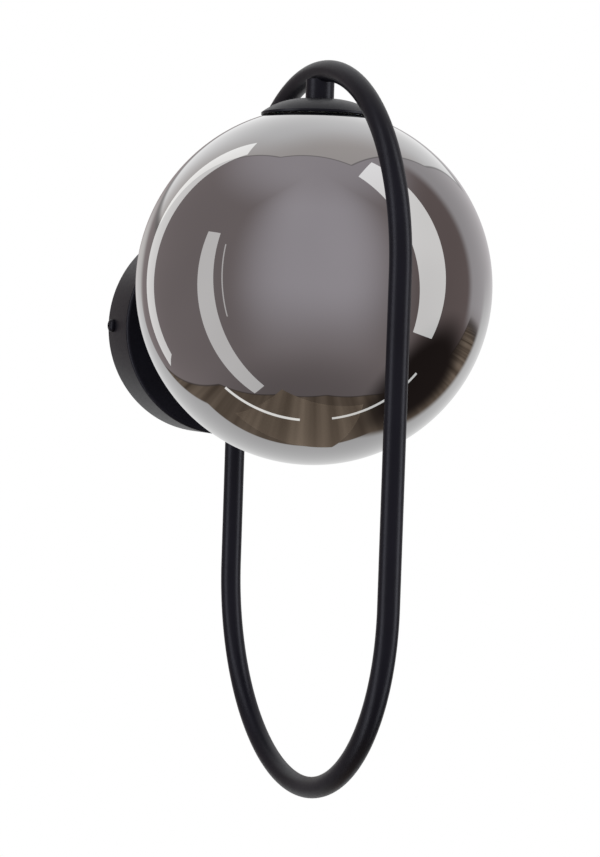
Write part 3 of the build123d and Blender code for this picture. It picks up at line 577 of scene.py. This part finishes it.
def photo_camera():
    """Camera that stands where the photograph was taken from, a little left of and below the loop."""
    ahead = Vector((
        math.sin(CAMERA_YAW) * math.cos(CAMERA_PITCH),
        math.cos(CAMERA_YAW) * math.cos(CAMERA_PITCH),
        math.sin(CAMERA_PITCH),
    ))
    level = Vector((math.cos(CAMERA_YAW), -math.sin(CAMERA_YAW), 0))
    upward = level.cross(ahead)
    right = level * math.cos(CAMERA_ROLL) + upward * math.sin(CAMERA_ROLL)
    top = upward * math.cos(CAMERA_ROLL) - level * math.sin(CAMERA_ROLL)
    lens = bpy.data.cameras.new("photo_camera")
    lens.sensor_fit = "AUTO"
    lens.sensor_width = SENSOR
    lens.lens = FOCAL_PIXELS * SENSOR / PHOTO_HEIGHT
    lens.shift_x = (PHOTO_WIDTH / 2 - CENTRE_PIXEL[0]) / PHOTO_HEIGHT
    lens.shift_y = (CENTRE_PIXEL[1] - PHOTO_HEIGHT / 2) / PHOTO_HEIGHT
    lens.clip_start = 0.01
    made = bpy.data.objects.new("photo_camera", lens)
    bpy.context.collection.objects.link(made)
    facing = Matrix((right, top, -ahead)).transposed()
    made.matrix_world = Matrix.Translation(CAMERA_PLACE) @ facing.to_4x4()
    bpy.context.scene.camera = made


photo_camera()

# ---------------------------------------------------------------- stage

WHITE = (1, 1, 1, 1)
BLACK = (0, 0, 0, 1)
FLOOR_HEIGHT = -1.1
FLOOR_HALF = 0.45
BOARD_TURN = 0.40  # from the camera's heading to Y, in radians
BOARD_COUNTS = (7.0, 0.15, 1.0)  # boards across and along in one height over the floor


def boards(tree, spot):
    """Brown floor with boards towards the camera; a spot is a share of the height over the floor."""
    aligned = add(
        tree, "ShaderNodeVectorRotate", {"Vector": spot, "Angle": BOARD_TURN}, rotation_type="Z_AXIS"
    ).outputs[0]
    stretched = add(
        tree, "ShaderNodeVectorMath", {0: aligned, 1: BOARD_COUNTS}, operation="MULTIPLY"
    ).outputs[0]
    grain = add(tree, "ShaderNodeTexNoise", {"Vector": stretched, "Scale": 1.0, "Detail": 2.0}).outputs[0]
    return mixed(tree, spread(tree, grain, 0.0, 1.0), colour("#5a4e43"), colour("#8f8071"))


def scaled(tree, vector, share):
    """Vector times a number."""
    return add(tree, "ShaderNodeVectorMath", {0: vector, "Scale": share}, operation="SCALE").outputs[0]


def pale_floor():
    """Plain floor well under the lamp: white to the camera, and brown boards in the globe's mirror."""
    x, y, z = FLOOR_HALF, FLOOR_HALF, FLOOR_HEIGHT
    mesh = bpy.data.meshes.new("floor")
    mesh.from_pydata([(-x, -y, z), (x, -y, z), (x, y, z), (-x, y, z)], [], [(0, 1, 2, 3)])
    floor = bpy.data.objects.new("floor", mesh)
    bpy.context.collection.objects.link(floor)
    made = bpy.data.materials.new("plain_floor")
    made.use_nodes = True
    tree = made.node_tree
    tree.nodes.clear()
    ray = add(tree, "ShaderNodeLightPath")
    place = add(tree, "ShaderNodeTexCoord").outputs["Object"]
    offset = add(
        tree, "ShaderNodeVectorMath", {0: place, 1: tuple(GLOBE_CENTRE)}, operation="SUBTRACT"
    ).outputs[0]
    spot = scaled(tree, offset, 1 / (GLOBE_Z - FLOOR_HEIGHT))
    matt = add(tree, "ShaderNodeBsdfDiffuse", {"Color": boards(tree, spot)})
    white = add(tree, "ShaderNodeEmission", {"Color": WHITE, "Strength": 1.0})
    both = add(
        tree, "ShaderNodeMixShader",
        {0: ray.outputs["Is Camera Ray"], 1: matt.outputs[0], 2: white.outputs[0]},
    )
    add(tree, "ShaderNodeOutputMaterial", {"Surface": both.outputs[0]})
    floor.data.materials.append(made)


pale_floor()


def direction(azimuth, elevation):
    """Unit vector; azimuth 0 is +Y, 90 is +X."""
    turn, lift = math.radians(azimuth), math.radians(elevation)
    return Vector((math.sin(turn) * math.cos(lift), math.cos(turn) * math.cos(lift), math.sin(lift)))


def receivers(name, pieces):
    """Collection of the only pieces that a lamp lights."""
    group = bpy.data.collections.new(name)
    for piece in pieces:
        group.objects.link(piece)
    return group


LAMP_DISTANCE = 3.0
LAMP_OVER_FLOOR = 0.9  # the floor would hide a low lamp that stood farther from the globe
DAYLIGHT = (0.97, 1.0, 0.98)


def softbox(name, top, bottom, width, radiance, lit=None, distance=LAMP_DISTANCE):
    """Straight strip lamp that faces the globe, from a top to a bottom direction (azimuth, elevation).

    Its width is an angle in degrees as seen from the globe, and its power gives the radiance.
    """
    high, low = direction(*top), direction(*bottom)
    middle = (high + low).normalized()
    lamp = bpy.data.lights.new(name, "AREA")
    lamp.shape = "RECTANGLE"
    lamp.size = 2 * distance * math.tan(math.radians(width) / 2)
    lamp.size_y = 2 * distance * math.tan(high.angle(low) / 2)
    lamp.energy = radiance * math.pi * lamp.size * lamp.size_y
    lamp.color = DAYLIGHT
    made = bpy.data.objects.new(name, lamp)
    bpy.context.collection.objects.link(made)
    along = (high - low).normalized()
    across = along.cross(middle)
    facing = Matrix((across, along, middle)).transposed().to_4x4()
    made.matrix_world = Matrix.Translation(Vector(GLOBE_CENTRE) + middle * distance) @ facing
    made.visible_camera = False
    if lit:
        made.light_linking.receiver_collection = lit


# The studio's windows show in the globe; the coated parts have two strips of their own. Each lamp
# has its top and bottom direction, its width in degrees, its radiance and the pieces that it lights
mirrors = receivers("mirrors", [globe])
painted = receivers("painted", [p for p in bpy.data.objects if p.type == "MESH" and p is not globe])
softbox("strip_left", (-27, 58), (-30, -23), 12, 1.0, mirrors)
softbox("window_right", (122, 68), (123, -22), 23, 1.25)
softbox("strip_side", (-84, 26), (-92, -62), 13, 0.9)
softbox("strip_thin", (-96.4, 21), (-100, -18), 0.9, 0.7, mirrors)
softbox("edge_low_left", (-66.5, -50.5), (-60, -86), 2.2, 1.6, mirrors, LAMP_OVER_FLOOR)
softbox("edge_low_right", (112, -38), (114, -80), 2.0, 1.3, mirrors, LAMP_OVER_FLOOR)
softbox("tube_left", (-96, 60), (-96, -60), 26, 3.2, painted)
softbox("tube_right", (126, 60), (126, -60), 26, 3.4, painted)

# ---------------------------------------------------------------- the room in the globe's mirror

# Normals of planes through the globe's centre: each surface of the room lies where the direction
# of view is past all of its planes
CEILING_EDGES = ((0.68, 1, 0.014), (2.76, 1, 0.534), (-0.8, 1, 0.354), (-1.58, 1, 1.27))
FLOOR_EDGES = ((1, 0, -0.78), (1.43, 1, -0.62), (0.556, 1, -0.315), (0, 1, -0.33), (-0.29, 1.2, -0.53))
BACKDROP_EDGES = ((0.944, 0.153, -0.293), (0.425, 0.713, 0.557))
BACKDROP_LEFT_EDGE = (-0.52, 1, 0.1)
DARK_CORNER = (0.78, -0.1, -0.62)
TO_CAMERA = (-0.36, -0.933, 0)
BEHIND = (0, 1, 0)
BEHIND_LEFT = (-1, 1, 0)
EDGE_SOFTNESS = 0.012
SEAM_STRENGTH = 2.0

# The direction of view, and its parts: x across, y deep and z height
View = namedtuple("View", "way across deep height")


def rise(tree, value, start, end, low=0.0, high=1.0):
    """Smooth step of a value between two limits, from low to high."""
    return add(
        tree, "ShaderNodeMapRange", {0: value, 1: start, 2: end, 3: low, 4: high},
        interpolation_type="SMOOTHSTEP",
    ).outputs[0]


def combined(tree, operation, first, second):
    """Arithmetic on two values."""
    return add(tree, "ShaderNodeMath", {0: first, 1: second}, operation=operation).outputs[0]


def dot(tree, vector, other):
    """Dot product with a fixed vector."""
    return add(tree, "ShaderNodeVectorMath", {0: vector, 1: other}, operation="DOT_PRODUCT").outputs[1]


def past(tree, view, normal, start=-EDGE_SOFTNESS, end=EDGE_SOFTNESS):
    """Where the direction of view lies past a plane with this normal."""
    return rise(tree, dot(tree, view.way, Vector(normal).normalized()), start, end)


def all_of(tree, *masks):
    """Product of masks."""
    result = masks[0]
    for mask in masks[1:]:
        result = combined(tree, "MULTIPLY", result, mask)
    return result


def within(tree, view, edges):
    """Where the direction of view lies past all of these planes."""
    return all_of(tree, *(past(tree, view, normal) for normal in edges))


def with_seam(tree, mask, room):
    """Room with a narrow dark line along the edge of a mask."""
    line = all_of(tree, mask, combined(tree, "SUBTRACT", 1.0, mask), SEAM_STRENGTH)
    return mixed(tree, line, room, BLACK)


def side_walls(tree, view):
    """Walls: lit towards the camera, warmer and darker at the right, darker low down, pale far left."""
    level = add(tree, "ShaderNodeVectorMath", {0: view.way, 1: (1, 1, 0)}, operation="MULTIPLY").outputs[0]
    heading = add(tree, "ShaderNodeVectorMath", {0: level}, operation="NORMALIZE").outputs[0]
    facing_wall = all_of(
        tree,
        rise(tree, dot(tree, heading, TO_CAMERA), 0.5, 1.0),
        rise(tree, view.height, -0.9, 0.05),
        rise(tree, view.height, 0.72, 0.98, 1.0, 0.72),
    )
    # A heading has no meaning straight up, so the light there is even
    lit = combined(tree, "MAXIMUM", facing_wall, rise(tree, view.height, 0.66, 0.98, high=0.72))
    room = mixed(tree, lit, colour("#9c9292"), colour("#d8d2d8"))
    room = mixed(tree, rise(tree, view.across, 0.55, 0.8), room, colour("#857876"))
    room = mixed(tree, rise(tree, view.height, -0.6, -1.0, high=0.3), room, BLACK)
    far_left = all_of(
        tree, past(tree, view, BEHIND_LEFT, 0.0, 1.0), rise(tree, view.deep, 0.965, 0.995)
    )
    return mixed(tree, far_left, room, colour("#dcdad8"))


def with_card(tree, view, room):
    """Room with a pale card at the right, behind the fixture."""
    card = all_of(
        tree,
        past(tree, view, BEHIND, 0.03, 0.18),
        rise(tree, view.across, 0.3, 0.5),
        rise(tree, view.height, -0.24, -0.04),
    )
    return mixed(tree, card, room, colour("#c8c4c6"))


def with_ceiling(tree, view, room):
    """Room with a pale ceiling, white towards the back."""
    ceiling = all_of(tree, within(tree, view, CEILING_EDGES), rise(tree, view.height, 0.2, 0.3))
    towards_back = all_of(
        tree, rise(tree, view.deep, 0.08, 0.5), rise(tree, view.across, -0.4, 0.0)
    )
    above = mixed(tree, towards_back, colour("#e0dad7"), WHITE)
    return with_seam(tree, ceiling, mixed(tree, ceiling, room, above))


def with_floor(tree, view, room):
    """Room with a boarded floor, which has a dark corner at the right."""
    floor = all_of(tree, within(tree, view, FLOOR_EDGES), rise(tree, view.height, -0.1, -0.2))
    spot = scaled(tree, view.way, combined(tree, "DIVIDE", -1.0, view.height))
    room = with_seam(tree, floor, mixed(tree, floor, room, boards(tree, spot)))
    return mixed(tree, past(tree, view, DARK_CORNER, 0.84, 0.96), room, colour("#2c2523"))


def with_backdrop(tree, view, room):
    """Room with a nearly white backdrop behind and under the fixture."""
    backdrop = all_of(
        tree,
        within(tree, view, BACKDROP_EDGES),
        past(tree, view, BACKDROP_LEFT_EDGE, -0.05, 0.08),
        rise(tree, view.height, 0.1, -0.1),
    )
    return mixed(tree, backdrop, room, colour("#dfdfdf"))


def room_light():
    """World: white for the camera, an even soft light for matt surfaces, and a room for mirrors."""
    world = bpy.data.worlds.new("studio")
    bpy.context.scene.world = world
    world.use_nodes = True
    tree = world.node_tree
    tree.nodes.clear()
    way = add(tree, "ShaderNodeTexCoord").outputs["Generated"]
    view = View(way, *add(tree, "ShaderNodeSeparateXYZ", {0: way}).outputs)
    room = side_walls(tree, view)
    for with_surface in (with_card, with_ceiling, with_floor, with_backdrop):
        room = with_surface(tree, view, room)
    ray = add(tree, "ShaderNodeLightPath")
    even = mixed(tree, rise(tree, view.height, -1, 1), colour("#d2d2d4"), colour("#f6f5f4"))
    seen = mixed(tree, ray.outputs["Is Diffuse Ray"], room, even)
    seen = mixed(tree, ray.outputs["Is Camera Ray"], seen, WHITE)
    light = add(tree, "ShaderNodeBackground", {"Color": seen, "Strength": 1.0})
    add(tree, "ShaderNodeOutputWorld", {"Surface": light.outputs[0]})


room_light()

bpy.context.scene.view_settings.view_transform = "Standard"
